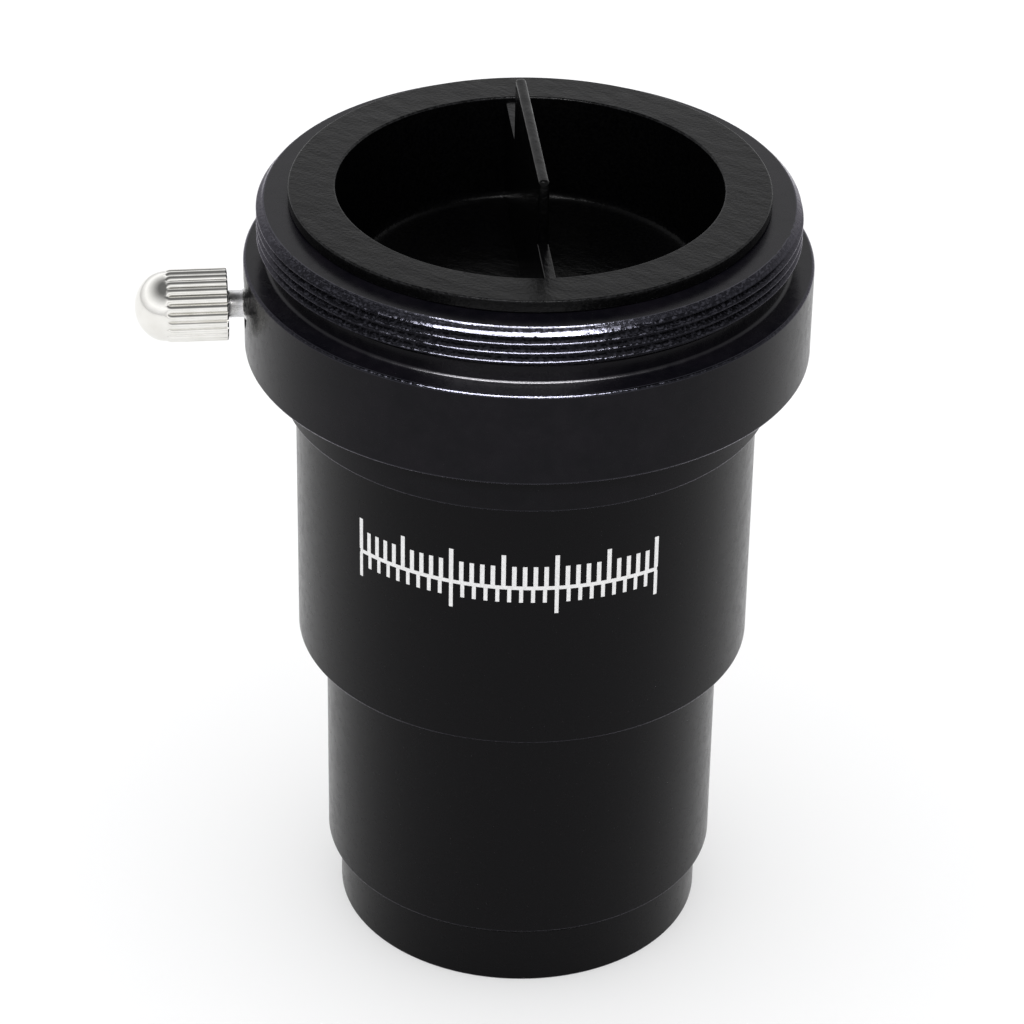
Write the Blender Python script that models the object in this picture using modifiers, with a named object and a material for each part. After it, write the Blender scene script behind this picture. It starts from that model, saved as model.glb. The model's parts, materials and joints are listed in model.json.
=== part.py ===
"""A 2x Barlow lens with a camera thread.

From the bottom up: a screw-in lens cell with a cemented negative doublet, a 1.25 inch nosepiece barrel,
a body tube, and a collar that is both an M42 camera thread and an eyepiece socket. A thumbscrew locks the
eyepiece, and a plastic dust cap with a pull tab plugs the socket.

The constants are in millimetres and the objects in metres. The origin is on the optical axis, at the rim
that the lens stands on, and +Z runs from the telescope's side to the eyepiece's side.
"""

import math

import bpy
from mathutils import Matrix, Vector

MM = 0.001
SEGMENTS = 48  # facets round every large ring
SMALL_SEGMENTS = 16  # facets round the thumbscrew's shank
CLEARANCE = 0.3  # gap between neighbouring pieces
MERGE = 1e-6  # metres; joins the points that a turned outline repeats on the axis and at its seam
SHARP_ANGLE = math.radians(30)

# Heights along the optical axis, from the rim that the lens stands on.
BARREL_BOTTOM = 5.3
SHOULDER = 25.8  # the body tube's lower face, which seats on a focuser
SKIRT_BOTTOM = 47.6
COLLAR_BOTTOM = 51.7
SCREW_HEIGHT = 55.7
CAMERA_FLANGE = 59.3  # the face that a camera adapter seats on
THREAD_BOTTOM = 61.1
METAL_TOP = 64.0

# Outer radii.
CELL_RADIUS = 14.8
BARREL_RADIUS = 15.85  # 1.25 inch barrel
BODY_RADIUS = 18.1
SKIRT_RADIUS = 19.13
COLLAR_RADIUS = 22.0
CAMERA_THREAD_RADIUS = 20.95  # crests of M42 x 0.75
RELIEF_RADIUS = 20.1

# Bores and the threads inside.
SOCKET_RADIUS = 15.9  # takes a 1.25 inch eyepiece
JOINT_THREAD_RADIUS = 17.9  # body tube into collar
JOINT_TOP = 52.2
BARREL_THREAD_RADIUS = 15.0  # barrel into body tube
BARREL_TOP = 32.5
BARREL_BORE = 13.6
FILTER_THREAD_RADIUS = 13.95  # crests of M28.5 x 0.6
CELL_TOP = 9.6
CELL_SHOULDER = BARREL_BOTTOM - CLEARANCE

# Glare stop, between the eyepiece socket and the barrel.
STOP_LEDGE = 33.0
STOP_BOTTOM = STOP_LEDGE + CLEARANCE
STOP_TOP = STOP_BOTTOM + 1.2
STOP_APERTURE = 11.0
STOP_EDGE = 0.2  # thickness of the knife edge

# Doublet, from the telescope's side up.
LENS_RADIUS = 12.5
LENS_BORE = LENS_RADIUS + CLEARANCE
LENS_SEAT = 3.8
LIP_RADIUS = 11.8
LIP_BOTTOM = 3.0
FRONT_CURVE = 90.0  # radius of curvature, concave
CEMENTED_CURVE = 60.0
REAR_CURVE = 150.0  # concave
CROWN_CENTRE = 1.2
FLINT_CENTRE = 1.5
CEMENT = 0.15
CURVE_STEPS = 4

# Retaining ring.
RING_HEIGHT = 1.0
RING_BORE = 11.4
RING_SLOT_WIDTH = 1.2
RING_SLOT_DEPTH = 0.5

# Thumbscrew: distances run outwards from the optical axis, along the screw's own axis.
SCREW_ANGLE = math.radians(225)
STUD_RADIUS = 1.45  # M3
STUD_NECK_RADIUS = 1.05
STUD_TIP = 15.95
STUD_NECK_START = 22.0
STUD_END = 26.2
HEAD_BACK = 23.26
HEAD_SHOULDER = 28.0
HEAD_TIP = 30.42
HEAD_RADIUS = 2.85
DOME_RADIUS = 2.75
FLUTE_DEPTH = 0.25
FLUTES = 24
DOME_STEPS = 4

# Dust cap.
FLANGE_RADIUS = 18.5
FLANGE_BOTTOM = METAL_TOP + CLEARANCE
FLANGE_TOP = 65.25
PLUG_RADIUS = 15.55
PLUG_TAPER = 0.25
PLUG_BOTTOM = 55.9
CUP_MOUTH = 14.88
CUP_FLOOR_RADIUS = 13.8
CUP_FLOOR = 56.8
RIB_WIDTH = 1.0
RIB_DROP = 0.3  # how far the rib's top lies below the flange
RIB_REACH = 15.0  # half length, so that the rib's ends lie in the cup's wall
RIB_ANGLE = math.radians(135)
TAB_WIDTH = 0.9
TAB_LENGTH = 17.5
TAB_SHIFT = 0.6
TAB_TOP = 70.25
TAB_ROOT = 2.0  # how far the tab reaches down into the rib

# Colour, roughness, metallic value and transmission of each finish.
FINISHES = {
    "black_anodised": ((0.012, 0.012, 0.013), 0.38, 0.6, 0.0),
    "matt_black": ((0.006, 0.006, 0.006), 0.85, 0.0, 0.0),
    "black_plastic": ((0.02, 0.02, 0.021), 0.5, 0.0, 0.0),
    "chrome": ((0.86, 0.85, 0.82), 0.12, 1.0, 0.0),
    "steel": ((0.55, 0.55, 0.56), 0.3, 1.0, 0.0),
    "coated_glass": ((0.72, 0.86, 0.8), 0.02, 0.0, 1.0),
}


def clear_scene():
    for obj in list(bpy.data.objects):
        bpy.data.objects.remove(obj, do_unlink=True)


def new_collection(name):
    made = bpy.data.collections.new(name)
    bpy.context.scene.collection.children.link(made)
    return made


def finish(name, finish_name):
    """A material of its own for the piece called name."""
    colour, roughness, metallic, transmission = FINISHES[finish_name]
    made = bpy.data.materials.new(f"{name}_{finish_name}")
    made.use_nodes = True
    shader = made.node_tree.nodes["Principled BSDF"]
    shader.inputs["Base Color"].default_value = (*colour, 1.0)
    shader.inputs["Roughness"].default_value = roughness
    shader.inputs["Metallic"].default_value = metallic
    shader.inputs["Transmission Weight"].default_value = transmission
    made.diffuse_color = (*colour, 1.0)
    return made


def turned(name, outline, finish_name, segments=SEGMENTS):
    """A piece turned about its own Z axis from an outline of (radius, height) pairs.

    The outline runs down the outer side. One that starts and ends on the axis stays open there,
    and any other closes into a ring.
    """
    count = len(outline)
    on_axis = outline[0][0] == 0 and outline[-1][0] == 0
    edges = [(i, (i + 1) % count) for i in range(count - 1 if on_axis else count)]
    profile = bpy.data.meshes.new(name)
    profile.from_pydata([(r * MM, 0, z * MM) for r, z in outline], edges, [])
    obj = bpy.data.objects.new(name, profile)
    PIECES.objects.link(obj)
    screw = obj.modifiers.new("turn", "SCREW")
    screw.steps = screw.render_steps = segments
    screw.use_merge_vertices = True
    screw.merge_threshold = MERGE
    bpy.context.view_layer.update()
    solid = bpy.data.meshes.new_from_object(obj.evaluated_get(bpy.context.evaluated_depsgraph_get()))
    obj.modifiers.clear()
    obj.data = solid
    solid.name = name
    solid.shade_smooth()
    solid.set_sharp_from_angle(angle=SHARP_ANGLE)
    solid.materials.append(finish(name, finish_name))
    return obj


def tool(obj, name):
    """Makes the object a guide that only shapes other pieces."""
    obj.name = name
    for home in list(obj.users_collection):
        home.objects.unlink(obj)
    CUTTERS.objects.link(obj)
    obj.hide_render = True
    obj.display_type = "WIRE"
    return obj


def box_tool(name, size, centre, angle=0.0):
    """A box of the given size, turned about Z by the angle; centre is in the row's frame."""
    bpy.ops.mesh.primitive_cube_add(size=1, location=Vector(centre) * MM, rotation=(0, 0, angle))
    obj = bpy.context.active_object
    obj.data.transform(Matrix.Diagonal((*(length * MM for length in size), 1)))
    return tool(obj, name)


def combine(obj, other, operation):
    join = obj.modifiers.new(other.name, "BOOLEAN")
    join.operation = operation
    join.solver = "EXACT"
    join.object = other


def sag(radius, curve):
    """How far a spherical surface falls away from its middle at this radius."""
    return curve - math.sqrt(curve * curve - radius * radius)


def surface(middle, curve, bends):
    """Points of a spherical lens surface from the middle out; bends is +1 if its rim is the higher."""
    radii = [LENS_RADIUS * i / CURVE_STEPS for i in range(CURVE_STEPS + 1)]
    return [(r, middle + bends * sag(r, curve)) for r in radii]


def on_screw_axis(obj):
    """Turns a piece that was made along Z so that it points out along the thumbscrew's axis."""
    obj.location = (0, 0, SCREW_HEIGHT * MM)
    obj.rotation_euler = (0, math.radians(90), SCREW_ANGLE)


def make_collar():
    chamfer = 0.2
    thread_chamfer = 0.45
    mouth_chamfer = 0.4
    undercut = 0.15
    seat_inner = CAMERA_THREAD_RADIUS + 0.1
    collar = turned(
        "camera_thread_collar",
        [
            (CAMERA_THREAD_RADIUS - thread_chamfer, METAL_TOP),
            (CAMERA_THREAD_RADIUS, METAL_TOP - thread_chamfer),
            (CAMERA_THREAD_RADIUS, THREAD_BOTTOM + chamfer),
            (RELIEF_RADIUS, THREAD_BOTTOM - chamfer),
            (RELIEF_RADIUS, CAMERA_FLANGE - undercut),
            (seat_inner, CAMERA_FLANGE - undercut),
            (seat_inner, CAMERA_FLANGE),
            (COLLAR_RADIUS - chamfer, CAMERA_FLANGE),
            (COLLAR_RADIUS, CAMERA_FLANGE - chamfer),
            (COLLAR_RADIUS, COLLAR_BOTTOM + chamfer),
            (COLLAR_RADIUS - chamfer, COLLAR_BOTTOM),
            (SKIRT_RADIUS, COLLAR_BOTTOM),
            (SKIRT_RADIUS, SKIRT_BOTTOM + chamfer),
            (SKIRT_RADIUS - chamfer, SKIRT_BOTTOM),
            (JOINT_THREAD_RADIUS + CLEARANCE, SKIRT_BOTTOM),
            (JOINT_THREAD_RADIUS + CLEARANCE, JOINT_TOP + CLEARANCE),
            (SOCKET_RADIUS, JOINT_TOP + CLEARANCE),
            (SOCKET_RADIUS, METAL_TOP - mouth_chamfer),
            (SOCKET_RADIUS + mouth_chamfer, METAL_TOP),
        ],
        "black_anodised",
    )
    overshoot = 2  # beyond the wall, on each side
    bpy.ops.mesh.primitive_cylinder_add(
        vertices=SMALL_SEGMENTS,
        radius=(STUD_RADIUS + CLEARANCE) * MM,
        depth=(COLLAR_RADIUS - SOCKET_RADIUS + 2 * overshoot) * MM,
    )
    hole = tool(bpy.context.active_object, "thumbscrew_hole")
    middle = (COLLAR_RADIUS + SOCKET_RADIUS) / 2
    hole.location = (
        middle * math.cos(SCREW_ANGLE) * MM,
        middle * math.sin(SCREW_ANGLE) * MM,
        SCREW_HEIGHT * MM,
    )
    hole.rotation_euler = (0, math.radians(90), SCREW_ANGLE)
    combine(collar, hole, "DIFFERENCE")


def make_body_tube():
    chamfer = 0.2
    recess = 0.8  # the barrel's full diameter goes this far into the lower face
    turned(
        "body_tube",
        [
            (JOINT_THREAD_RADIUS, JOINT_TOP),
            (JOINT_THREAD_RADIUS, SKIRT_BOTTOM - CLEARANCE),
            (BODY_RADIUS, SKIRT_BOTTOM - CLEARANCE),
            (BODY_RADIUS, SHOULDER + chamfer),
            (BODY_RADIUS - chamfer, SHOULDER),
            (BARREL_RADIUS + CLEARANCE, SHOULDER),
            (BARREL_RADIUS + CLEARANCE, SHOULDER + recess),
            (BARREL_THREAD_RADIUS + CLEARANCE, SHOULDER + recess),
            (BARREL_THREAD_RADIUS + CLEARANCE, STOP_LEDGE),
            (SOCKET_RADIUS, STOP_LEDGE),
            (SOCKET_RADIUS, JOINT_TOP),
        ],
        "black_anodised",
    )


def make_glare_stop():
    rim = SOCKET_RADIUS - CLEARANCE
    cone_width = 2.5
    turned(
        "glare_stop",
        [
            (rim, STOP_TOP),
            (rim, STOP_BOTTOM),
            (STOP_APERTURE, STOP_BOTTOM),
            (STOP_APERTURE, STOP_BOTTOM + STOP_EDGE),
            (STOP_APERTURE + cone_width, STOP_TOP),
        ],
        "matt_black",
    )


def make_barrel():
    chamfer = 0.5
    recess_top = SHOULDER + 0.5
    bore_bottom = CELL_TOP + 0.5
    turned(
        "nosepiece_barrel",
        [
            (BARREL_THREAD_RADIUS, BARREL_TOP),
            (BARREL_THREAD_RADIUS, recess_top),
            (BARREL_RADIUS, recess_top),
            (BARREL_RADIUS, BARREL_BOTTOM + chamfer),
            (BARREL_RADIUS - chamfer, BARREL_BOTTOM),
            (FILTER_THREAD_RADIUS + CLEARANCE, BARREL_BOTTOM),
            (FILTER_THREAD_RADIUS + CLEARANCE, bore_bottom),
            (BARREL_BORE, bore_bottom),
            (BARREL_BORE, BARREL_TOP),
        ],
        "black_anodised",
    )


def make_lens_cell():
    chamfer = 0.15
    thread_chamfer = 0.3
    filter_bore = 14.1
    turned(
        "lens_cell",
        [
            (FILTER_THREAD_RADIUS - thread_chamfer, CELL_TOP),
            (FILTER_THREAD_RADIUS, CELL_TOP - thread_chamfer),
            (FILTER_THREAD_RADIUS, CELL_SHOULDER),
            (CELL_RADIUS, CELL_SHOULDER),
            (CELL_RADIUS, chamfer),
            (CELL_RADIUS - chamfer, 0),
            (filter_bore, 0),
            (filter_bore, LIP_BOTTOM),
            (LIP_RADIUS, LIP_BOTTOM),
            (LIP_RADIUS, LENS_SEAT),
            (LENS_BORE, LENS_SEAT),
            (LENS_BORE, CELL_TOP),
        ],
        "black_anodised",
    )


def make_doublet():
    """The two elements, and the height of the upper one's rim."""
    crown_bottom = LENS_SEAT + CLEARANCE + sag(LENS_RADIUS, FRONT_CURVE)
    crown_top = crown_bottom + CROWN_CENTRE
    flint_bottom = crown_top + CEMENT
    flint_top = flint_bottom + FLINT_CENTRE
    for name, top, bottom in (
        (
            "crown_element",
            surface(crown_top, CEMENTED_CURVE, 1),
            surface(crown_bottom, FRONT_CURVE, -1),
        ),
        (
            "flint_element",
            surface(flint_top, REAR_CURVE, 1),
            surface(flint_bottom, CEMENTED_CURVE, 1),
        ),
    ):
        turned(name, top + bottom[::-1], "coated_glass")
    return flint_top + sag(LENS_RADIUS, REAR_CURVE)


def make_retaining_ring(doublet_top):
    bottom = doublet_top + CLEARANCE
    top = bottom + RING_HEIGHT
    ring = turned(
        "lens_retaining_ring",
        [
            (LENS_RADIUS, top),
            (LENS_RADIUS, bottom),
            (RING_BORE, bottom),
            (RING_BORE, top),
        ],
        "matt_black",
    )
    slots = box_tool(
        "spanner_slots",
        (3 * LENS_RADIUS, RING_SLOT_WIDTH, 2 * RING_SLOT_DEPTH),
        (0, 0, top),
    )
    combine(ring, slots, "DIFFERENCE")


def make_thumbscrew():
    point = 0.5
    neck_cone = 0.4
    thread_end = STUD_NECK_START - 0.1
    stud = turned(
        "thumbscrew_stud",
        [
            (0, STUD_END),
            (STUD_NECK_RADIUS, STUD_END),
            (STUD_NECK_RADIUS, thread_end + neck_cone),
            (STUD_RADIUS, thread_end),
            (STUD_RADIUS, STUD_TIP + point),
            (STUD_RADIUS - point, STUD_TIP),
            (0, STUD_TIP),
        ],
        "steel",
        SMALL_SEGMENTS,
    )
    on_screw_axis(stud)

    dome = [
        (
            DOME_RADIUS * math.sin(math.pi / 2 * i / DOME_STEPS),
            HEAD_SHOULDER + (HEAD_TIP - HEAD_SHOULDER) * math.cos(math.pi / 2 * i / DOME_STEPS),
        )
        for i in range(DOME_STEPS)
    ]
    hole = STUD_NECK_RADIUS + CLEARANCE
    valley = 1 - FLUTE_DEPTH / HEAD_RADIUS
    head = turned(
        "thumbscrew_head",
        [
            *dome,
            (HEAD_RADIUS, HEAD_SHOULDER),
            (HEAD_RADIUS, HEAD_BACK),
            (hole, HEAD_BACK),
            (hole, STUD_END + CLEARANCE),
            (0, STUD_END + CLEARANCE),
        ],
        "chrome",
        2 * FLUTES,
    )
    for vertex in head.data.vertices:
        radius = math.hypot(vertex.co.x, vertex.co.y)
        turn = math.atan2(vertex.co.y, vertex.co.x) / (2 * math.pi)
        if radius > (HEAD_RADIUS - 0.1) * MM and round(turn * 2 * FLUTES) % 2:
            vertex.co.x *= valley
            vertex.co.y *= valley
    on_screw_axis(head)


def make_dust_cap():
    edge = 0.15
    floor_edge = 0.4
    lead_in = 0.5
    cap = turned(
        "dust_cap",
        [
            (0, CUP_FLOOR),
            (CUP_FLOOR_RADIUS - floor_edge, CUP_FLOOR),
            (CUP_FLOOR_RADIUS, CUP_FLOOR + floor_edge),
            (CUP_MOUTH - edge, FLANGE_TOP - edge),
            (CUP_MOUTH, FLANGE_TOP),
            (FLANGE_RADIUS - edge, FLANGE_TOP),
            (FLANGE_RADIUS, FLANGE_TOP - edge),
            (FLANGE_RADIUS, FLANGE_BOTTOM),
            (PLUG_RADIUS, FLANGE_BOTTOM),
            (PLUG_RADIUS - PLUG_TAPER, PLUG_BOTTOM + lead_in),
            (PLUG_RADIUS - PLUG_TAPER - lead_in, PLUG_BOTTOM),
            (0, PLUG_BOTTOM),
        ],
        "black_plastic",
    )
    # The rib starts inside the floor and stops just under the flange's top face.
    rib_bottom = (CUP_FLOOR + PLUG_BOTTOM) / 2
    rib_top = FLANGE_TOP - RIB_DROP
    rib = box_tool(
        "rib",
        (2 * RIB_REACH, RIB_WIDTH, rib_top - rib_bottom),
        (0, 0, (rib_top + rib_bottom) / 2),
        RIB_ANGLE,
    )
    tab_bottom = FLANGE_TOP - TAB_ROOT
    tab = box_tool(
        "pull_tab",
        (TAB_LENGTH, TAB_WIDTH, TAB_TOP - tab_bottom),
        (
            -TAB_SHIFT * math.cos(RIB_ANGLE),
            -TAB_SHIFT * math.sin(RIB_ANGLE),
            (TAB_TOP + tab_bottom) / 2,
        ),
        RIB_ANGLE,
    )
    combine(cap, rib, "UNION")
    combine(cap, tab, "UNION")


clear_scene()
PIECES = new_collection("barlow_lens")
CUTTERS = new_collection("cutters")
make_collar()
make_body_tube()
make_glare_stop()
make_barrel()
make_lens_cell()
make_retaining_ring(make_doublet())
make_thumbscrew()
make_dust_cap()
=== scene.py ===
"""The looks of a Barlow lens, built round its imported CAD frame.

Every turned piece gets a finely rounded mesh in place of its faceted CAD solid, the threads get real
helical ridges, and each finish is a procedural material. Outlines are in millimetres, in the frame's own
axes: the origin is on the optical axis at the rim that the lens stands on, and +Z is up.
"""

import json
import math

import bmesh
import bpy
import numpy as np
from mathutils import Matrix, Quaternion, Vector


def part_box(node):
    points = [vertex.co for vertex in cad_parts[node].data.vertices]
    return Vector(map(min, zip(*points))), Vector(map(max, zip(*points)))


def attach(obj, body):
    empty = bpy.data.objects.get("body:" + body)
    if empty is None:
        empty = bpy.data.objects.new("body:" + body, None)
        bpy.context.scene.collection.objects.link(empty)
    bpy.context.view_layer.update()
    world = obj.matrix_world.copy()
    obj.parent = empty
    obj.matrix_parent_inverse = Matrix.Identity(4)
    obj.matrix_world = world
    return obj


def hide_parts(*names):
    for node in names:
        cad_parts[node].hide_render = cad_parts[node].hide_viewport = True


MM = 0.001
SEGMENTS = 256  # columns round every large ring
SMALL_SEGMENTS = 64  # columns round the thumbscrew's shank and its hole
ROUND_STEPS = 4  # facets across a rounded corner
SHARP_ANGLE = math.radians(38)
MERGE = 1e-8  # metres; joins the seam of a turned mesh and its points on the axis
CLEARANCE = 0.3  # gap that the CAD keeps between neighbouring pieces

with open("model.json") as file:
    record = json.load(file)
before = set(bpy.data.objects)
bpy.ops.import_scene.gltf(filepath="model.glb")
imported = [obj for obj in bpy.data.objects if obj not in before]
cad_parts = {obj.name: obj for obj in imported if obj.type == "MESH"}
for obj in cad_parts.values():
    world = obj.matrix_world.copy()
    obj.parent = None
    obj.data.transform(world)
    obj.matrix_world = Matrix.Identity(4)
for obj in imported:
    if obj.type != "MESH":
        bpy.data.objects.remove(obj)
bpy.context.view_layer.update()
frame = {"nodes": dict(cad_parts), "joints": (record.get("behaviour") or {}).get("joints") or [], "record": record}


def extent(node):
    """Lowest and highest corner of a CAD node, in millimetres."""
    low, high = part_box(node)
    return low / MM, high / MM


def mount_height(name):
    found = next(m for m in frame["record"]["mounts"] if m["name"] == name)
    return found["pos_m"][2] / MM


def joint(name):
    return next(j for j in frame["joints"] if j["name"] == name)


# Sizes that the frame gives.
COLLAR_LOW, COLLAR_HIGH = extent("camera_thread_collar")
BODY_HIGH = extent("body_tube")[1]
BARREL_LOW, BARREL_HIGH = extent("nosepiece_barrel")
CELL_HIGH = extent("lens_cell")[1]
STOP_LOW, STOP_HIGH = extent("glare_stop")
RING_LOW, RING_HIGH = extent("lens_retaining_ring")
CROWN_LOW, CROWN_HIGH = extent("crown_element")
FLINT_LOW, FLINT_HIGH = extent("flint_element")
CAP_LOW, CAP_HIGH = extent("dust_cap")
METAL_TOP = COLLAR_HIGH.z
SHOULDER = mount_height("focuser_shoulder")
CAMERA_FLANGE = mount_height("camera_flange")
SCREW_AXIS = Vector(joint("thumbscrew_travel")["axis"]).normalized()
SCREW_HEIGHT = joint("thumbscrew_turn")["pos_m"][2] / MM

# Collar.
COLLAR_RADIUS = COLLAR_HIGH.x
COLLAR_BOTTOM = 51.7
SKIRT_RADIUS = 19.13
CAMERA_THREAD_RADIUS = 20.95  # crests of M42 x 0.75
CAMERA_PITCH = 0.75
THREAD_BOTTOM = 61.1
THREAD_CHAMFER = 0.55
THREAD_START = 0.36  # where the thread's crest begins round the collar, in turns
RELIEF_RADIUS = 20.1
SOCKET_RADIUS = STOP_HIGH.x + CLEARANCE
THREAD_SHARE = 0.613  # depth of a metric thread over its pitch
RIDGE_MIDDLE = 0.48  # a thread's ridge is a cosine round this share of its depth,
RIDGE_SWING = 0.53  # and swings so far that its crest and its root are cut flat
WEAR_EDGE = 0.1  # width over which a worn edge fades into a plain face
THREAD_POLISH = 0.5  # wear of a thread's flanks, which shine without being rubbed bare
HOLE_RADIUS = 1.75
HOLE_FLARE = (0.25, 0.35)  # width and depth

# Tube, barrel and cell.
JOINT_RADIUS = 17.9
JOINT_GAP = 0.1  # the seam that shows between two touching pieces
BARREL_THREAD_RADIUS = 15.0
BARREL_BORE = 13.6
BAFFLE_PITCH = 0.8
BAFFLE_DEPTH = 0.25
FILTER_RADIUS = 14.1  # crests of the inner M28.5 x 0.6 thread
FILTER_PITCH = 0.6
LIP_BOTTOM = 3.0
LIP_RADIUS = 11.8
LENS_SEAT = 3.8
LENS_RADIUS = RING_HIGH.x
STOP_APERTURE = 11.0
RING_BORE = 11.4
RING_SLOT = (1.2, 0.5)  # width and depth

# Curvature radii of the doublet's surfaces.
FRONT_CURVE = 90.0
CEMENTED_CURVE = 60.0
REAR_CURVE = 150.0

# Thumbscrew.
STUD_RADIUS = 1.45
STUD_PITCH = 0.5
NECK_RADIUS = 1.05
NECK_START = 22.0
HEAD_RADIUS = 2.83
DOME_RADIUS = 2.72
HEAD_SHOULDER = 28.0
FLUTES = 24
FLUTE_COLUMNS = 12
FLUTE_DEPTH = 0.27
FLUTE_FULLNESS = 0.7  # below 1, the ridges are rounder than the grooves between them
BACK_SHARE = 0.4  # how much of a flute's depth is left at the head's back edge
FRONT_RUNOUT = 0.45
BACK_RUNOUT = 0.12

# Dust cap.
FLANGE_TOP = 65.25
FLANGE_BOTTOM = METAL_TOP + CLEARANCE
PLUG_RADIUS = 15.55
PLUG_TAPER = 0.25
CUP_MOUTH = 14.88
CUP_FLOOR = 56.8
CUP_FLOOR_RADIUS = 13.8
RIB_ANGLE = math.radians(135)
RIB_WIDTH = 1.0
RIB_REACH = 15.0
RIB_DROP = 0.3  # how far the rib's top lies below the flange
TAB_WIDTH = 0.9
TAB_LENGTH = 17.5
TAB_SHIFT = 0.6
TAB_ROOT = 2.0  # how far the tab reaches down into the rib

# Printed scale on the body tube: polar angles in degrees.
PRINT_START = 265.0
PRINT_END = 343.0
PRINT_HEIGHT = 40.2  # the scale's base line
PRINT_LINE = 0.16  # half the base line's thickness
PRINT_DEPTH = 0.02  # how far the ink stands out of the tube, and reaches into it
PRINT_FACET = 0.3  # longest facet of a printed bar
# Rows of ticks. Each gives its number of gaps, every how many gaps a tick is tall, how far the short and
# the tall ticks reach from the base line, their width, and 1 above the base line or -1 below it.
PRINT_TICKS = ((30, 5, 1.9, 2.9, 0.34, 1), (27, 9, 1.3, 2.3, 0.3, -1))

# Camera, round the middle of the metal's top face.
CAMERA_AZIMUTH = math.radians(38.603)
CAMERA_ELEVATION = math.radians(27.625)
CAMERA_DISTANCE = 318.0
CAMERA_LENS = 145.84  # focal length
SENSOR_WIDTH = 36.0
CAMERA_ROLL = math.radians(0.993)
AIM = Vector((-0.75, -0.6, 35.7))  # the point that the camera looks at

# Stage: metres, watts and radians.
FLOOR_RADIUS = 4.0
FILL_POWER = 19.0
FILL_ELEVATION = math.radians(89.9)
FILL_DISTANCE = 1.2
FILL_WIDTH = 2.4
STRIP_AZIMUTH = CAMERA_AZIMUTH - math.radians(6)
STRIP_DISTANCE = 0.6
STRIP_HEIGHT = 0.06
# Strip lights: power, elevation and width.
HIGH_STRIP = (42.0, math.radians(60), 0.54)
LOW_STRIP = (27.0, math.radians(36), 0.54)
CAP_STRIP = (4.0, math.radians(60), 0.4)
WORLD_STRENGTH = 1.7
# Height of a direction above the horizon, as the sine of its elevation, and its brightness.
WORLD_STOPS = ((0.0, 0.45), (0.35, 0.76), (0.5, 0.64), (0.7, 0.4), (0.92, 0.1))
WORLD_TINT = (1.0, 1.0, 1.01)


# ---------------------------------------------------------------- outlines and meshes


def rounded(corners, closed=True, steps=ROUND_STEPS):
    """Points (radius, height, wear) of an outline whose corners are (radius, height, rounding).

    The outline runs down the outer side. Wear is 1 on an outward corner that is rounded, else 0.
    """
    points = []
    count = len(corners)
    for i, (radius, height, rounding) in enumerate(corners):
        here = Vector((radius, height))
        if not rounding or (not closed and i in (0, count - 1)):
            points.append((radius, height, 0.0))
            continue
        before = (Vector(corners[i - 1][:2]) - here).normalized()
        after = (Vector(corners[(i + 1) % count][:2]) - here).normalized()
        half = before.angle(after) / 2
        centre = here + (before + after).normalized() * rounding / math.sin(half)
        start = here + before * rounding / math.tan(half) - centre
        end = here + after * rounding / math.tan(half) - centre
        outward = before.x * after.y - before.y * after.x > 0
        for step in range(steps + 1):
            share = step / steps
            arm = start.lerp(end, share).normalized() * rounding
            wear = math.sin(math.pi * share) if outward else 0.0
            points.append((centre.x + arm.x, centre.y + arm.y, wear))
    return points


def rings(points, columns=SEGMENTS):
    """Rows of a turned surface: each is the radius, height and wear at every column."""
    return [np.full((columns + 1, 3), point, float) for point in points]


def thread(bottom, top, crest, depth, pitch, columns=SEGMENTS, start=0.0, chamfer=0.0, samples=16):
    """Rows of a right-handed thread, from its top to its bottom. Depth is below 0 on an inner thread.

    The rows follow the helix, and the ridge fades out at both ends. A chamfer cuts its top at 45 degrees.
    """
    lead = pitch / 4
    turn = np.linspace(0, 1, columns + 1)
    rows = []
    for step in range(math.ceil((top - bottom) / pitch * samples), -samples - 1, -1):
        height = np.clip(bottom + (step / samples + turn) * pitch, bottom, top)
        phase = (height - bottom) / pitch - turn + start
        ridge = np.clip(RIDGE_MIDDLE + RIDGE_SWING * np.cos(2 * np.pi * phase), 0, 1)
        ridge *= np.clip((height - bottom) / lead, 0, 1)
        if not chamfer:
            ridge *= np.clip((top - height) / lead, 0, 1)
        radius = crest - depth * (1 - ridge)
        if chamfer:
            radius = np.minimum(radius, crest - chamfer + top - height)
        worn = np.clip(4 * ridge - 3, 0, 1)  # the top quarter of the ridge
        polish = THREAD_POLISH + (1 - THREAD_POLISH) * worn
        rows.append(np.stack([radius, height, polish], axis=1))
    return rows


def turned(name, rows, closed=True):
    """A mesh object from rows of (radius, height, wear), one column per angle."""
    table = np.array(rows)
    count, columns = table.shape[:2]
    angle = np.linspace(0, 2 * np.pi, columns)
    radius, height, wear = np.moveaxis(table, -1, 0)
    points = np.stack([radius * np.cos(angle), radius * np.sin(angle), height], axis=-1)
    index = np.arange(count * columns).reshape(count, columns)
    below = np.roll(index, -1, axis=0) if closed else index[1:]
    above = index if closed else index[:-1]
    quads = np.stack([above[:, :-1], above[:, 1:], below[:, 1:], below[:, :-1]], axis=-1)
    return solid(name, points.reshape(-1, 3) * MM, quads.reshape(-1, 4).tolist(), wear.ravel())


def solid(name, points, faces, wear=None):
    """A mesh object from an array of points, a list of faces, and the wear at each point."""
    mesh = bpy.data.meshes.new(name)
    mesh.from_pydata(points.tolist(), [], faces)
    values = np.zeros(len(points)) if wear is None else wear
    mesh.attributes.new("wear", "FLOAT", "POINT").data.foreach_set("value", values.astype(np.float32))
    obj = bpy.data.objects.new(name, mesh)
    bpy.context.scene.collection.objects.link(obj)
    clean(mesh)
    return obj


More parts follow.
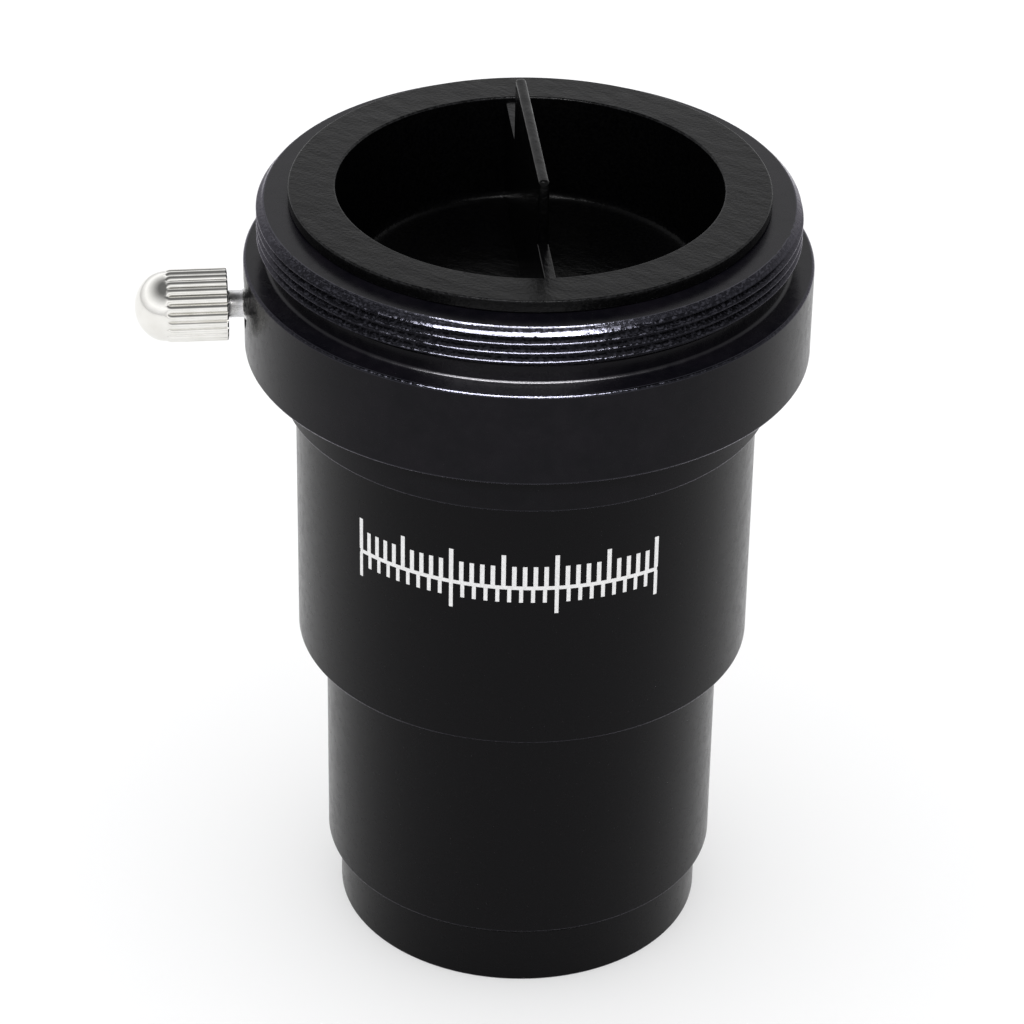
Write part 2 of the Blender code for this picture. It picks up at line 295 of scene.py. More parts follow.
def clean(mesh):
    """Merges doubled points, drops the faces that collapse, and turns the rest outwards."""
    work = bmesh.new()
    work.from_mesh(mesh)
    bmesh.ops.remove_doubles(work, verts=work.verts, dist=MERGE)
    bmesh.ops.dissolve_degenerate(work, edges=work.edges, dist=MERGE)
    bmesh.ops.recalc_face_normals(work, faces=work.faces)
    work.to_mesh(mesh)
    work.free()


def combine(obj, other, operation):
    """Applies a Boolean with another object, and deletes that object."""
    join = obj.modifiers.new(operation, "BOOLEAN")
    join.operation = operation
    join.solver = "EXACT"
    join.object = other
    bpy.context.view_layer.update()
    made = bpy.data.meshes.new_from_object(obj.evaluated_get(bpy.context.evaluated_depsgraph_get()))
    obj.modifiers.clear()
    obj.data = made
    bpy.data.objects.remove(other, do_unlink=True)


def block(name, size, centre, angle, bevel, draft=0.0):
    """A box with rounded edges, narrower at the top by draft on each side, turned about Z."""
    work = bmesh.new()
    bmesh.ops.create_cube(work, size=1)
    for vertex in work.verts:
        narrowing = draft if vertex.co.z > 0 else 0.0
        vertex.co.x *= size[0] - 2 * narrowing
        vertex.co.y *= size[1] - 2 * narrowing
        vertex.co.z *= size[2]
    bmesh.ops.bevel(work, geom=work.edges, offset=bevel, segments=3, profile=0.5, affect="EDGES")
    work.transform(Matrix.Translation(Vector(centre)) @ Matrix.Rotation(angle, 4, "Z"))
    work.transform(Matrix.Scale(MM, 4))
    mesh = bpy.data.meshes.new(name)
    work.to_mesh(mesh)
    work.free()
    mesh.attributes.new("wear", "FLOAT", "POINT")
    obj = bpy.data.objects.new(name, mesh)
    bpy.context.scene.collection.objects.link(obj)
    return obj


def finish(obj, material, body, slot, *nodes):
    """Shades a piece smooth, gives it its material, and puts it on its body in place of its CAD nodes."""
    obj.data.shade_smooth()
    obj.data.set_sharp_from_angle(angle=SHARP_ANGLE)
    weighting = obj.modifiers.new("weighted_normals", "WEIGHTED_NORMAL")
    weighting.keep_sharp = True
    obj.data.materials.clear()
    obj.data.materials.append(material)
    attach(obj, body)
    if nodes:
        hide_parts(*nodes)
    return obj


def sag(radius, curve):
    """How far a spherical surface falls away from its middle at this radius."""
    return curve - math.sqrt(curve * curve - radius * radius)


# ---------------------------------------------------------------- materials


def set_stops(ramp, stops):
    """Fills a colour ramp with stops of (position, colour or grey)."""
    while len(ramp.elements) < len(stops):
        ramp.elements.new(0.5)
    for element, (position, colour) in zip(ramp.elements, stops):
        element.position = position
        shade = colour if isinstance(colour, tuple) else (colour,) * 3
        element.color = (*shade, 1.0)


class Shader:
    """A material's node tree, with short calls for the nodes that its finish needs."""

    def __init__(self, name, **constants):
        self.material = bpy.data.materials.new(name)
        self.material.use_nodes = True
        self.nodes = self.material.node_tree.nodes
        self.links = self.material.node_tree.links
        self.surface = self.nodes["Principled BSDF"]
        self.place = self.nodes.new("ShaderNodeTexCoord").outputs["Object"]
        for key, value in constants.items():
            self.surface.inputs[key.replace("_", " ")].default_value = value

    def node(self, kind, **settings):
        made = self.nodes.new("ShaderNode" + kind)
        for key, value in settings.items():
            setattr(made, key, value)
        return made

    def feed(self, target, source):
        self.links.new(source, target)

    def noise(self, scale, detail=3.0, stretch=(1, 1, 1)):
        """Noise in the piece's own space. Scale is in features per millimetre."""
        mapping = self.node("Mapping")
        mapping.inputs["Scale"].default_value = stretch
        self.feed(mapping.inputs["Vector"], self.place)
        made = self.node("TexNoise")
        made.inputs["Scale"].default_value = scale / MM
        made.inputs["Detail"].default_value = detail
        self.feed(made.inputs["Vector"], mapping.outputs["Vector"])
        return made.outputs["Fac"]

    def ramp(self, source, *stops):
        """A colour ramp with stops of (position, colour or grey)."""
        made = self.node("ValToRGB")
        set_stops(made.color_ramp, stops)
        self.feed(made.inputs["Fac"], source)
        return made.outputs["Color"]

    def range(self, source, low, high, start=0.3, end=0.7):
        """The source, read from start to end, spread from low to high."""
        made = self.node("MapRange")
        values = (start, end, low, high)
        for key, value in zip(("From Min", "From Max", "To Min", "To Max"), values):
            made.inputs[key].default_value = value
        self.feed(made.inputs["Value"], source)
        return made.outputs["Result"]

    def multiply(self, first, second):
        made = self.node("Math", operation="MULTIPLY", use_clamp=True)
        self.feed(made.inputs[0], first)
        self.feed(made.inputs[1], second)
        return made.outputs["Value"]

    def mix(self, factor, first, second):
        """A number between two sockets. The Mix node has a set of sockets for each kind of value."""
        made = self.node("Mix", data_type="FLOAT")
        self.feed(made.inputs["Factor"], factor)
        self.feed(made.inputs[2], first)
        self.feed(made.inputs[3], second)
        return made.outputs[0]

    def blend(self, factor, first, second):
        """A colour between two sockets or plain colours."""
        made = self.node("Mix", data_type="RGBA")
        self.feed(made.inputs["Factor"], factor)
        for socket, value in ((made.inputs[6], first), (made.inputs[7], second)):
            if isinstance(value, tuple):
                socket.default_value = (*value, 1.0)
            else:
                self.feed(socket, value)
        return made.outputs[2]

    def bump(self, height, depth, below=None):
        """A bump of the given depth in millimetres, over an earlier one."""
        made = self.node("Bump")
        made.inputs["Strength"].default_value = 1.0
        made.inputs["Distance"].default_value = depth * MM
        self.feed(made.inputs["Height"], height)
        if below:
            self.feed(made.inputs["Normal"], below)
        return made.outputs["Normal"]

    def wear(self):
        return self.node("Attribute", attribute_name="wear").outputs["Fac"]


def black_anodised():
    """Satin black over a fine-turned surface, whose threads and worn edges are polished."""
    made = Shader("black_anodised", Specular_IOR_Level=0.11, Specular_Tint=(0.96, 0.94, 1.0, 1.0))
    surface = made.surface.inputs
    tone = made.ramp(
        made.noise(0.35), (0.3, (0.0001, 0.0001, 0.0002)), (0.7, (0.0003, 0.00025, 0.0004))
    )
    wear = made.wear()
    patches = made.noise(3.6, 2.0, (1, 1, 1.6))
    rubbed = made.multiply(made.range(wear, 0.0, 1.0, 0.0, 1.0), made.range(patches, 0.5, 1.0))
    made.feed(surface["Base Color"], made.blend(rubbed, tone, (0.02, 0.02, 0.025)))
    made.feed(surface["Metallic"], made.range(rubbed, 0.0, 1.0, 0.05, 0.4))
    satin = made.range(made.noise(1.2), 0.22, 0.3)
    polish = made.range(patches, 0.09, 0.3, 0.42, 0.6)
    made.feed(surface["Roughness"], made.mix(made.range(wear, 0.0, 1.0, 0.0, 0.5), satin, polish))
    turning = made.bump(made.noise(9.0, 2.0, (0.02, 0.02, 1)), 0.002)
    grain = made.bump(made.noise(9.0, 4.0), 0.002, turning)
    chatter = made.bump(made.noise(3.2, 2.0), 0.05, grain)
    made.feed(chatter.node.inputs["Strength"], made.range(wear, 0.0, 0.5, 0.0, 1.0))
    made.feed(surface["Normal"], chatter)
    return made.material


def matt_black():
    """Dull black paint on the inner rings."""
    made = Shader("matt_black", Specular_IOR_Level=0.15)
    surface = made.surface.inputs
    made.feed(surface["Base Color"], made.ramp(made.noise(0.8), (0.3, 0.003), (0.7, 0.007)))
    made.feed(surface["Roughness"], made.range(made.noise(3.0), 0.7, 0.9))
    made.feed(surface["Normal"], made.bump(made.noise(14.0, 5.0), 0.006))
    return made.material


def black_plastic():
    """Glossy moulded black plastic, slightly uneven, and paler where its edges are rubbed."""
    made = Shader("black_plastic", Specular_IOR_Level=0.075)
    surface = made.surface.inputs
    tone = made.ramp(
        made.noise(4.0, 4.0), (0.35, (0.0004, 0.0004, 0.0005)), (0.65, (0.0012, 0.0012, 0.0013))
    )
    edges = made.multiply(made.wear(), made.range(made.noise(3.0), 0.0, 1.0, 0.4, 0.7))
    made.feed(surface["Base Color"], made.blend(edges, tone, (0.012, 0.012, 0.013)))
    made.feed(surface["Roughness"], made.range(made.noise(0.9, 5.0), 0.16, 0.26))
    broad = made.bump(made.noise(0.8, 2.0, (0.5, 1, 1)), 0.05)
    grain = made.bump(made.noise(4.0, 4.0), 0.022, broad)
    made.feed(surface["Normal"], grain)
    return made.material


def chrome():
    """Bright plating with hairline scratches and a little haze."""
    made = Shader("chrome", Metallic=1.0)
    surface = made.surface.inputs
    tone = made.ramp(made.noise(0.7), (0.3, (0.76, 0.75, 0.71)), (0.7, (0.84, 0.83, 0.8)))
    made.feed(surface["Base Color"], tone)
    made.feed(surface["Roughness"], made.range(made.noise(2.5, 5.0), 0.05, 0.14))
    dents = made.bump(made.noise(1.1, 2.0), 0.006)
    scratches = made.bump(made.noise(18.0, 3.0, (0.2, 1, 1)), 0.0012, dents)
    made.feed(surface["Normal"], scratches)
    return made.material


def steel():
    """Plated steel thread."""
    made = Shader("steel", Metallic=1.0)
    surface = made.surface.inputs
    tone = made.ramp(made.noise(2.0), (0.3, (0.5, 0.5, 0.51)), (0.7, (0.66, 0.66, 0.67)))
    made.feed(surface["Base Color"], tone)
    made.feed(surface["Roughness"], made.range(made.noise(4.0), 0.16, 0.3))
    made.feed(surface["Normal"], made.bump(made.noise(20.0, 3.0), 0.002))
    return made.material


def coated_glass():
    """Optical glass whose coating reflects green, and violet at a slant, with a trace of dust."""
    made = Shader("coated_glass", Transmission_Weight=1.0, IOR=1.52)
    surface = made.surface.inputs
    slant = made.node("LayerWeight")
    slant.inputs["Blend"].default_value = 0.35
    coating = made.ramp(
        slant.outputs["Facing"],
        (0.1, (0.25, 0.95, 0.55)),
        (0.55, (0.35, 0.6, 0.95)),
        (0.9, (0.75, 0.5, 0.9)),
    )
    made.feed(surface["Specular Tint"], coating)
    surface["Base Color"].default_value = (0.93, 0.98, 0.95, 1.0)
    made.feed(surface["Roughness"], made.range(made.noise(5.0, 6.0), 0.0, 0.06, 0.62, 0.75))
    return made.material


def white_ink():
    """Screen-printed white, slightly uneven."""
    made = Shader("white_ink", Specular_IOR_Level=0.3)
    surface = made.surface.inputs
    made.feed(surface["Base Color"], made.ramp(made.noise(5.0), (0.3, 0.74), (0.6, 0.86)))
    made.feed(surface["Roughness"], made.range(made.noise(8.0), 0.5, 0.65))
    made.feed(surface["Normal"], made.bump(made.noise(16.0, 3.0), 0.002))
    return made.material


def pale_floor():
    """A plain floor, clear from below so that the underside can be looked at."""
    made = Shader("pale_floor", Specular_IOR_Level=0.1, Roughness=0.8)
    surface = made.surface.inputs
    made.feed(surface["Base Color"], made.ramp(made.noise(0.004), (0.3, 0.9), (0.7, 0.92)))
    through = made.node("BsdfTransparent")
    side = made.node("NewGeometry")
    mix = made.node("MixShader")
    made.feed(mix.inputs[0], side.outputs["Backfacing"])
    made.feed(mix.inputs[1], made.surface.outputs["BSDF"])
    made.feed(mix.inputs[2], through.outputs["BSDF"])
    made.feed(made.nodes["Material Output"].inputs["Surface"], mix.outputs["Shader"])
    return made.material


# ---------------------------------------------------------------- pieces


def make_collar(material):
    """Camera thread, relief groove, collar band and skirt in one piece, with the thumbscrew's hole."""
    depth = THREAD_SHARE * CAMERA_PITCH
    root = CAMERA_THREAD_RADIUS - depth
    chamfered = CAMERA_THREAD_RADIUS - THREAD_CHAMFER
    top = FLANGE_BOTTOM - JOINT_GAP
    runout = 0.35
    mouth = 0.4
    rows = thread(
        THREAD_BOTTOM,
        top,
        CAMERA_THREAD_RADIUS,
        depth,
        CAMERA_PITCH,
        start=THREAD_START,
        chamfer=THREAD_CHAMFER,
    )
    rows += rings(
        rounded(
            [
                (root, THREAD_BOTTOM, 0),
                (root - WEAR_EDGE, THREAD_BOTTOM - WEAR_EDGE, 0),
                (RELIEF_RADIUS, THREAD_BOTTOM - runout, 0.12),
                (RELIEF_RADIUS, CAMERA_FLANGE, 0.3),
                (COLLAR_RADIUS, CAMERA_FLANGE, 0.22),
                (COLLAR_RADIUS, COLLAR_BOTTOM, 0.22),
                (SKIRT_RADIUS, COLLAR_BOTTOM, 0.25),
                (SKIRT_RADIUS, COLLAR_LOW.z, 0.18),
                (JOINT_RADIUS + CLEARANCE, COLLAR_LOW.z, 0.1),
                (JOINT_RADIUS + CLEARANCE, BODY_HIGH.z + CLEARANCE, 0),
                (SOCKET_RADIUS, BODY_HIGH.z + CLEARANCE, 0.05),
                (SOCKET_RADIUS, top - mouth, 0.05),
                (SOCKET_RADIUS + mouth, top, 0.05),
                (chamfered - WEAR_EDGE, top, 0),
                (chamfered, top, 0),
            ],
            closed=False,
        )
    )
    collar = turned("collar", rows)
    beyond = 1.0  # how far the cutter reaches past the collar's wall
    inner, outer = SOCKET_RADIUS - 2 * beyond, COLLAR_RADIUS + beyond
    flare_width, flare_depth = HOLE_FLARE
    cutter = turned(
        "screw_hole",
        rings(
            [
                (0, outer, 0),
                (HOLE_RADIUS + flare_width + beyond, outer, 0),
                (HOLE_RADIUS + flare_width, COLLAR_RADIUS, 0),
                (HOLE_RADIUS, COLLAR_RADIUS - flare_depth, 0),
                (HOLE_RADIUS, inner, 0),
                (0, inner, 0),
            ],
            SMALL_SEGMENTS,
        ),
        closed=False,
    )
    on_screw_axis(cutter)
    combine(collar, cutter, "DIFFERENCE")
    return finish(collar, material, "tube", "black_anodised", "camera_thread_collar")


def make_body_tube(material):
    recess = 0.8  # the barrel's full diameter goes this far into the lower face
    outline = rounded(
        [
            (JOINT_RADIUS, BODY_HIGH.z, 0.1),
            (JOINT_RADIUS, COLLAR_LOW.z - JOINT_GAP, 0),
            (BODY_HIGH.x, COLLAR_LOW.z - JOINT_GAP, 0.08),
            (BODY_HIGH.x, SHOULDER, 0.2),
            (BARREL_HIGH.x + JOINT_GAP, SHOULDER, 0.05),
            (BARREL_HIGH.x + JOINT_GAP, SHOULDER + recess, 0),
            (BARREL_THREAD_RADIUS + CLEARANCE, SHOULDER + recess, 0),
            (BARREL_THREAD_RADIUS + CLEARANCE, STOP_LOW.z - CLEARANCE, 0),
            (SOCKET_RADIUS, STOP_LOW.z - CLEARANCE, 0.1),
            (SOCKET_RADIUS, BODY_HIGH.z, 0.15),
        ]
    )
    finish(turned("body", rings(outline)), material, "tube", "black_anodised", "body_tube")


def make_barrel(material):
    """The 1.25 inch barrel, with anti-glare grooves down its bore."""
    recess_top = SHOULDER + 0.5
    bore_bottom = CELL_HIGH.z + 0.5
    thread_root = FILTER_RADIUS + 0.15
    chamfer = 0.45
    outline = rounded(
        [
            (BARREL_THREAD_RADIUS, BARREL_HIGH.z, 0.1),
            (BARREL_THREAD_RADIUS, recess_top, 0),
            (BARREL_HIGH.x, recess_top, 0),
            (BARREL_HIGH.x, BARREL_LOW.z + chamfer, 0.15),
            (BARREL_HIGH.x - chamfer, BARREL_LOW.z, 0.12),
            (thread_root, BARREL_LOW.z, 0.05),
            (thread_root, bore_bottom, 0),
            (BARREL_BORE, bore_bottom, 0),
        ],
        closed=False,
    )
    half_groove = 0.35 * BAFFLE_PITCH
    height = bore_bottom + 0.5
    while height + BAFFLE_PITCH < BARREL_HIGH.z:
        outline.append((BARREL_BORE, height, 0))
        outline.append((BARREL_BORE + BAFFLE_DEPTH, height + half_groove, 0))
        outline.append((BARREL_BORE, height + 2 * half_groove, 0))
        height += BAFFLE_PITCH
    outline.append((BARREL_BORE, BARREL_HIGH.z, 0))
    finish(turned("barrel", rings(outline)), material, "tube", "black_anodised", "nosepiece_barrel")


def make_glare_stop(material):
    edge = 0.2
    cone_width = 2.5
    outline = rounded(
        [
            (STOP_HIGH.x, STOP_HIGH.z, 0.05),
            (STOP_HIGH.x, STOP_LOW.z, 0.05),
            (STOP_APERTURE, STOP_LOW.z, 0.03),
            (STOP_APERTURE, STOP_LOW.z + edge, 0.03),
            (STOP_APERTURE + cone_width, STOP_HIGH.z, 0.2),
        ]
    )
    finish(turned("light_stop", rings(outline)), material, "tube", "matt_black", "glare_stop")


def make_cell(material):
    """The screw-in lens cell: a male thread above, and a filter thread inside its mouth."""
    shoulder = BARREL_LOW.z - JOINT_GAP
    neck_top = shoulder + 0.5
    depth = THREAD_SHARE * FILTER_PITCH
    crest = CELL_HIGH.x - 0.85
    inner_depth = 0.75 * depth
    inner_root = FILTER_RADIUS + inner_depth
    inner_bottom = 0.3
    inner_top = LIP_BOTTOM - 0.4
    mouth = FILTER_RADIUS + 0.25
    relief = FILTER_RADIUS + 0.2
    bore = LENS_RADIUS + CLEARANCE
    rows = thread(neck_top, CELL_HIGH.z, crest, depth, FILTER_PITCH)
    rows += rings(
        rounded(
            [
                (crest - depth, neck_top, 0),
                (crest - depth, shoulder, 0.05),
                (CELL_HIGH.x, shoulder, 0.06),
                (CELL_HIGH.x, 0, 0.15),
                (mouth, 0, 0.06),
                (inner_root, inner_bottom, 0),
            ],
            closed=False,
        )
    )
    rows += thread(inner_bottom, inner_top, FILTER_RADIUS, -inner_depth, FILTER_PITCH)[::-1]
    rows += rings(
        rounded(
            [
                (inner_root, inner_top, 0),
                (relief, LIP_BOTTOM, 0.08),
                (LIP_RADIUS, LIP_BOTTOM, 0.08),
                (LIP_RADIUS, LENS_SEAT, 0.08),
                (bore, LENS_SEAT, 0.05),
                (bore, CELL_HIGH.z, 0.08),
                (crest - depth, CELL_HIGH.z, 0),
            ],
            closed=False,
        )
    )
    finish(turned("cell", rows), material, "lens_cell", "black_anodised", "lens_cell")


def make_retaining_ring(material):
    outline = rounded(
        [
            (LENS_RADIUS, RING_HIGH.z, 0.06),
            (LENS_RADIUS, RING_LOW.z, 0.06),
            (RING_BORE, RING_LOW.z, 0.06),
            (RING_BORE, RING_HIGH.z, 0.12),
        ]
    )
    ring = turned("retaining_ring", rings(outline))
    width, depth = RING_SLOT
    slots = block("slots", (3 * LENS_RADIUS, width, 2 * depth), (0, 0, RING_HIGH.z), 0, 0.05)
    combine(ring, slots, "DIFFERENCE")
    finish(ring, material, "lens_cell", "matt_black", "lens_retaining_ring")


def lens_surface(middle, curve, bends, steps=24):
    """Points of a spherical surface from the middle out; bends is +1 if its rim is the higher."""
    radii = [LENS_RADIUS * i / steps for i in range(steps + 1)]
    return [(radius, middle + bends * sag(radius, curve), 0) for radius in radii]


def make_doublet(material):
    """The two elements. The rims stay in the places that the CAD solids hold."""
    crown_middle = CROWN_LOW.z + sag(LENS_RADIUS, FRONT_CURVE)
    crown_top = CROWN_HIGH.z - sag(LENS_RADIUS, CEMENTED_CURVE)
    flint_middle = FLINT_LOW.z
    flint_top = FLINT_HIGH.z - sag(LENS_RADIUS, REAR_CURVE)
    crown = lens_surface(crown_top, CEMENTED_CURVE, 1) + lens_surface(crown_middle, FRONT_CURVE, -1)[::-1]
    flint = lens_surface(flint_top, REAR_CURVE, 1) + lens_surface(flint_middle, CEMENTED_CURVE, 1)[::-1]
    for name, outline in (("crown", crown), ("flint", flint)):
        lens = turned(f"{name}_lens", rings(outline), closed=False)
        finish(lens, material, "doublet", "coated_glass", f"{name}_element")


def on_screw_axis(obj):
    """Turns a mesh made along Z so that it points out along the thumbscrew's axis."""
    turn = SCREW_AXIS.to_track_quat("Z", "Y").to_matrix().to_4x4()
    obj.data.transform(Matrix.Translation((0, 0, SCREW_HEIGHT * MM)) @ turn)


def along_screw(node):
    """Nearest and farthest reach of a CAD node along the thumbscrew's axis, in millimetres."""
    reach = [vertex.co.dot(SCREW_AXIS) / MM for vertex in frame["nodes"][node].data.vertices]
    return min(reach), max(reach)


def make_stud(material):
    tip, end = along_screw("thumbscrew_stud")
    depth = THREAD_SHARE * STUD_PITCH
    root = STUD_RADIUS - depth
    neck_end = NECK_START + 0.15
    thread_end = tip + 0.4
    bevel = 0.2
    neck = rounded([(0, end, 0), (NECK_RADIUS, end, 0.1), (NECK_RADIUS, neck_end, 0)], closed=False)
    foot = rounded([(root, thread_end, 0), (root - bevel, tip, 0.1), (0, tip, 0)], closed=False)
    rows = rings(neck, SMALL_SEGMENTS)
    rows += thread(thread_end, NECK_START, STUD_RADIUS, depth, STUD_PITCH, SMALL_SEGMENTS)
    rows += rings(foot, SMALL_SEGMENTS)
    stud = turned("screw_shank", rows, closed=False)
    on_screw_axis(stud)
    finish(stud, material, "thumbscrew_stud", "steel", "thumbscrew_stud")


def make_head(material):
    """The head: ridges that rise out of a smooth dome, rounded off at both ends."""
    back, tip = along_screw("thumbscrew_head")
    valley = HEAD_RADIUS - FLUTE_DEPTH
    columns = FLUTES * FLUTE_COLUMNS
    angle = np.linspace(0, 2 * np.pi, columns + 1)
    ridge = np.abs(np.sin(FLUTES * angle / 2)) ** FLUTE_FULLNESS
    dome_steps, front_steps, back_steps = 20, 7, 4
    quarter = np.linspace(0, math.pi / 2, dome_steps + 1)
    height = HEAD_SHOULDER + (tip - HEAD_SHOULDER) * np.cos(quarter)
    rows = rings(zip(DOME_RADIUS * np.sin(quarter), height, np.zeros(dome_steps + 1)), columns)
    for ease in np.linspace(0, 1, front_steps + 1)[1:]:
        share = 1 - (1 - ease) ** 2
        radius = DOME_RADIUS + share * (valley + FLUTE_DEPTH * ridge - DOME_RADIUS)
        rows.append(ring_of(radius, HEAD_SHOULDER - FRONT_RUNOUT * ease))
    for ease in np.linspace(1, 0, back_steps + 1):
        share = 1 - (1 - ease) ** 2
        radius = valley + FLUTE_DEPTH * ridge * (BACK_SHARE + (1 - BACK_SHARE) * share)
        rows.append(ring_of(radius, back + BACK_RUNOUT * ease))
    bevel = 0.15
    bore = NECK_RADIUS + CLEARANCE
    end = along_screw("thumbscrew_stud")[1] + CLEARANCE
    inside = [(bore + bevel, back, 0), (bore, back + bevel, 0), (bore, end, 0), (0, end, 0)]
    rows += rings(inside, columns)
    head = turned("screw_head", rows, closed=False)
    on_screw_axis(head)
    finish(head, material, "thumbscrew_head", "chrome", "thumbscrew_head")


def ring_of(radius, height):
    """One row of a turned surface whose radius changes round it."""
    return np.stack([radius, np.full(len(radius), height), np.zeros(len(radius))], axis=1)


def make_cap(material):
    """The plug cap: a drafted cup under a flange, a rib across it, and a pull tab on the rib."""
    outline = rounded(
        [
            (0, CUP_FLOOR, 0),
            (CUP_FLOOR_RADIUS, CUP_FLOOR, 0.9),
            (CUP_MOUTH, FLANGE_TOP, 0.18),
            (CAP_HIGH.x, FLANGE_TOP, 0.14),
            (CAP_HIGH.x, FLANGE_BOTTOM, 0.1),
            (PLUG_RADIUS, FLANGE_BOTTOM, 0.1),
            (PLUG_RADIUS - PLUG_TAPER, CAP_LOW.z, 0.5),
            (0, CAP_LOW.z, 0),
        ],
        closed=False,
        steps=6,
    )
    cap = turned("cap", rings(outline), closed=False)
    rib_bottom = (CUP_FLOOR + CAP_LOW.z) / 2
    rib_top = FLANGE_TOP - RIB_DROP
    rib = block(
        "rib",
        (2 * RIB_REACH, RIB_WIDTH, rib_top - rib_bottom),
        (0, 0, (rib_top + rib_bottom) / 2),
        RIB_ANGLE,
        bevel=0.1,
        draft=0.05,
    )
    tab_bottom = FLANGE_TOP - TAB_ROOT
    shift = Matrix.Rotation(RIB_ANGLE, 3, "Z") @ Vector((-TAB_SHIFT, 0, 0))
    tab = block(
        "pull_tab",
        (TAB_LENGTH, TAB_WIDTH, CAP_HIGH.z - tab_bottom),
        (shift.x, shift.y, (CAP_HIGH.z + tab_bottom) / 2),
        RIB_ANGLE,
        bevel=0.3,
        draft=0.04,
    )
    combine(cap, rib, "UNION")
    combine(cap, tab, "UNION")
    return finish(cap, material, "dust_cap", "black_plastic", "dust_cap")


def patch(angle, width, low, high):
    """Corners and faces of one printed bar on the tube, centred at a polar angle in degrees."""
    radius = BODY_HIGH.x
    columns = max(2, round(width / PRINT_FACET) + 1)
    half = width / radius / 2
    points = []
    for turn in np.linspace(math.radians(angle) - half, math.radians(angle) + half, columns):
        for distance in (radius - PRINT_DEPTH, radius + PRINT_DEPTH):
            for height in (low, high):
                points.append((distance * math.cos(turn), distance * math.sin(turn), height))
    faces = []
    for a in range(0, 4 * (columns - 1), 4):
        b = a + 4
        faces += [(a, b, b + 1, a + 1), (a + 2, a + 3, b + 3, b + 2)]
        faces += [(a, a + 2, b + 2, b), (a + 1, b + 1, b + 3, a + 3)]
    last = 4 * (columns - 1)
    faces += [(0, 1, 3, 2), (last, last + 2, last + 3, last + 1)]
    return points, faces


def make_scale(material):
    """A plain graduated scale in white ink: a base line, ticks above it and finer ones below it."""
    span = PRINT_END - PRINT_START
    length = math.radians(span) * BODY_HIGH.x
    inset = 0.004  # how far in from the line's ends the end ticks stand, as a share of the line
    middle = (PRINT_START + PRINT_END) / 2
    bars = [(middle, length, PRINT_HEIGHT - PRINT_LINE, PRINT_HEIGHT + PRINT_LINE)]
    for gaps, every, short, tall, width, side in PRINT_TICKS:
        for i in range(gaps + 1):
            angle = PRINT_START + span * (inset + (1 - 2 * inset) * i / gaps)
            reach = short if i % every else tall
            ends = (PRINT_HEIGHT + side * PRINT_LINE, PRINT_HEIGHT + side * reach)
            bars.append((angle, width, min(ends), max(ends)))
    points, faces = [], []
    for bar in bars:
        corners, sides = patch(*bar)
        faces += [tuple(len(points) + i for i in side) for side in sides]
        points += corners
    finish(solid("printed_scale", np.array(points) * MM, faces), material, "tube", "white_print")


# ---------------------------------------------------------------- stage


def make_floor():
    bpy.ops.mesh.primitive_circle_add(vertices=128, radius=FLOOR_RADIUS, fill_type="NGON")
    floor = bpy.context.active_object
    floor.name = "floor"
    floor.data.materials.append(pale_floor())
    return floor


def make_world():
    """White surroundings that grow dimmer overhead and towards the horizon."""
    world = bpy.data.worlds.new("studio")
    bpy.context.scene.world = world
    world.use_nodes = True
    nodes, links = world.node_tree.nodes, world.node_tree.links
    direction = nodes.new("ShaderNodeTexCoord").outputs["Generated"]
    split = nodes.new("ShaderNodeSeparateXYZ")
    links.new(direction, split.inputs["Vector"])
    ramp = nodes.new("ShaderNodeValToRGB")
    tinted = [(height, tuple(grey * tint for tint in WORLD_TINT)) for height, grey in WORLD_STOPS]
    set_stops(ramp.color_ramp, tinted)
    links.new(split.outputs["Z"], ramp.inputs["Fac"])
    background = nodes["Background"]
    links.new(ramp.outputs["Color"], background.inputs["Color"])
    background.inputs["Strength"].default_value = WORLD_STRENGTH


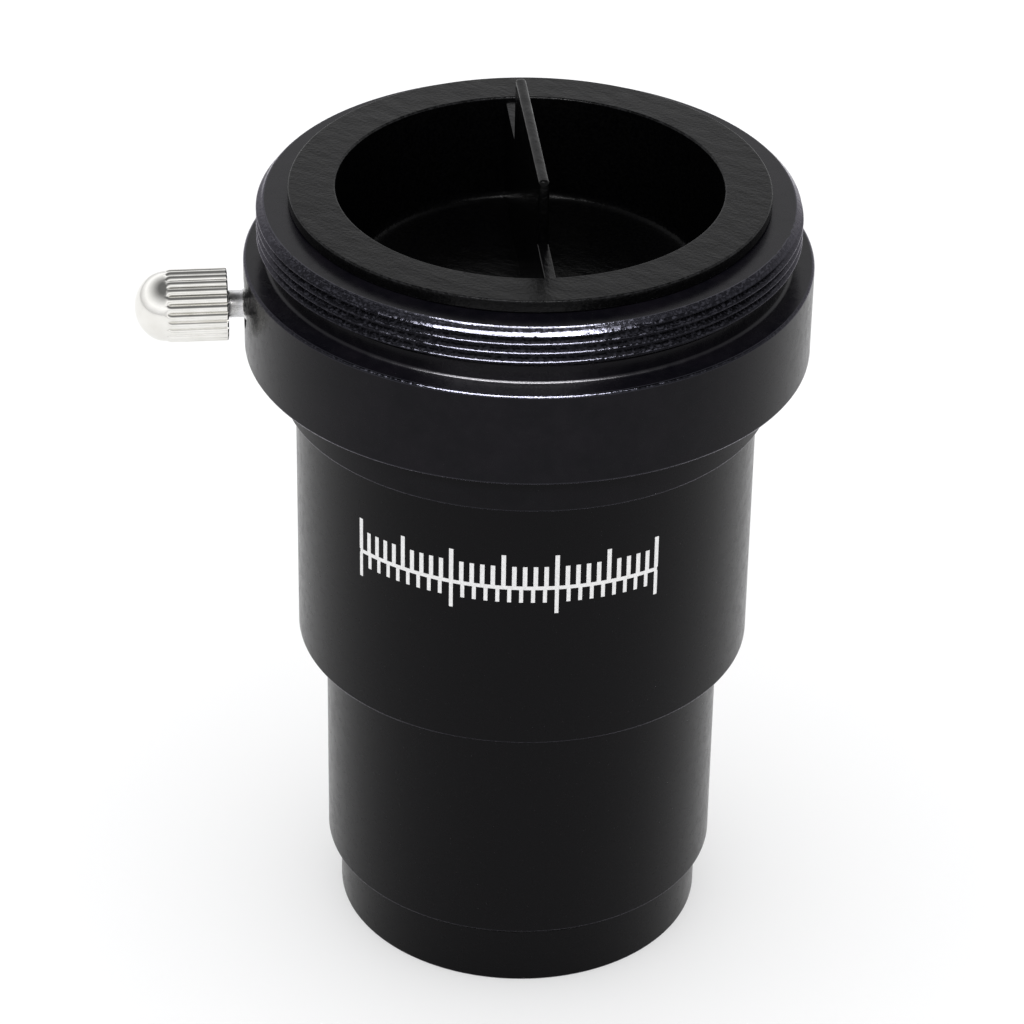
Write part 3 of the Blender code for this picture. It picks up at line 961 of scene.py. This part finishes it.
def softbox(name, lit, power, azimuth, elevation, distance, size):
    """A rectangular light on one object alone. Azimuth 0 stands at -Y, as the camera's does."""
    data = bpy.data.lights.new(name, "AREA")
    data.shape = "RECTANGLE"
    data.size, data.size_y = size
    data.energy = power
    lamp = bpy.data.objects.new(name, data)
    bpy.context.scene.collection.objects.link(lamp)
    target = Vector((0, 0, METAL_TOP * MM))
    lamp.location = target + towards(azimuth, elevation) * distance
    lamp.rotation_mode = "QUATERNION"
    lamp.rotation_quaternion = (target - lamp.location).to_track_quat("-Z", "Y")
    receivers = bpy.data.collections.new(f"{name}_receivers")
    receivers.objects.link(lit)
    lamp.light_linking.receiver_collection = receivers
    return lamp


def make_lights(collar, cap, floor):
    """A shadowless light on the floor, and strips that make the collar's thread and the cap glint."""
    size = (FILL_WIDTH, FILL_WIDTH)
    fill = softbox("floor_fill", floor, FILL_POWER, 0.0, FILL_ELEVATION, FILL_DISTANCE, size)
    fill.light_linking.blocker_collection = fill.light_linking.receiver_collection
    strips = (
        ("high_strip", collar, HIGH_STRIP),
        ("cap_strip", cap, CAP_STRIP),
        ("low_strip", collar, LOW_STRIP),
    )
    for name, lit, (power, elevation, width) in strips:
        softbox(name, lit, power, STRIP_AZIMUTH, elevation, STRIP_DISTANCE, (width, STRIP_HEIGHT))



def towards(azimuth, elevation):
    """Unit vector from the object to a point at this azimuth and elevation."""
    flat = math.cos(elevation)
    return Vector((math.sin(azimuth) * flat, -math.cos(azimuth) * flat, math.sin(elevation)))


def make_camera():
    data = bpy.data.cameras.new("camera")
    data.sensor_width = SENSOR_WIDTH
    data.lens = CAMERA_LENS
    data.clip_start = 0.01
    camera = bpy.data.objects.new("camera", data)
    bpy.context.scene.collection.objects.link(camera)
    middle = Vector((0, 0, METAL_TOP))
    camera.location = (middle + towards(CAMERA_AZIMUTH, CAMERA_ELEVATION) * CAMERA_DISTANCE) * MM
    camera.rotation_mode = "QUATERNION"
    look = (AIM * MM - camera.location).to_track_quat("-Z", "Y")
    camera.rotation_quaternion = look @ Quaternion((0, 0, 1), CAMERA_ROLL)
    bpy.context.scene.camera = camera


anodised = black_anodised()
matt = matt_black()
threaded_collar = make_collar(anodised)
make_body_tube(anodised)
make_barrel(anodised)
make_glare_stop(matt)
make_cell(anodised)
make_retaining_ring(matt)
make_doublet(coated_glass())
make_stud(steel())
make_head(chrome())
plug_cap = make_cap(black_plastic())
make_scale(white_ink())

make_world()
make_lights(threaded_collar, plug_cap, make_floor())
make_camera()
bpy.context.scene.view_settings.view_transform = "Standard"
